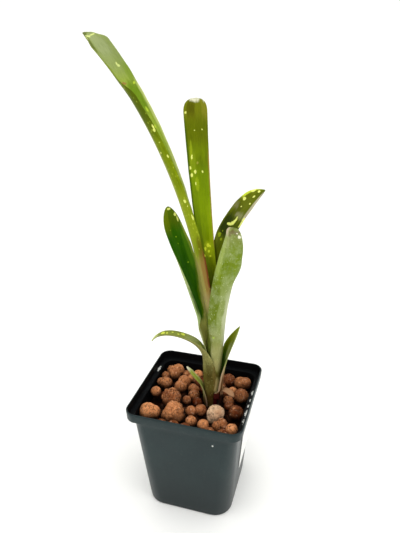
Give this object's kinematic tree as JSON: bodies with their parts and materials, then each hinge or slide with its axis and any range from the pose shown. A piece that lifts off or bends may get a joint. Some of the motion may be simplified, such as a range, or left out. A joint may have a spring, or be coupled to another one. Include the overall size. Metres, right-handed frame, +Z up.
{
  "type": "potted_bromeliad",
  "caption": "Young upright tank bromeliad with spotted strap leaves, standing in clay pebbles in a square black tapered nursery pot with a bare paper label",
  "frame": {"origin": "centre of the pot's underside, on the surface that it stands on", "axes": "+Z up along the pot; -Y is the front face of the pot; +X is the face with the label"},
  "size_m": [0.1372, 0.09, 0.3543],
  "materials": {
    "pot_plastic": "satin",
    "label_paper": "smooth, blank",
    "clay": "rough, pitted, unglazed",
    "pale_clay": "rough, unglazed",
    "stem_fibre": "fibrous",
    "leaf_yellow_green": "glossy, spotted",
    "leaf_mid_green": "satin, spotted",
    "leaf_dark_olive": "glossy, cream blotches",
    "leaf_deep_green": "satin",
    "leaf_pale_scurfy": "matt, silvery bands",
    "leaf_grey_olive": "matt, spotted",
    "dry_sheath": "dry, papery"
  },
  "bodies": {
    "root": {"pot": "pot_plastic", "pot_label": "label_paper", "clay_pebble_bed": "clay", "pale_clay_pebble": "pale_clay", "stem_with_roots": "stem_fibre", "leaf_centre": "leaf_yellow_green", "leaf_long_left": "leaf_mid_green", "leaf_right_back": "leaf_dark_olive", "leaf_left": "leaf_deep_green", "leaf_front": "leaf_pale_scurfy", "leaf_low_left": "leaf_grey_olive", "leaf_low_right": "leaf_deep_green", "leaf_stub_left": "leaf_grey_olive", "dry_scale": "dry_sheath"}
  },
  "joints": []
}
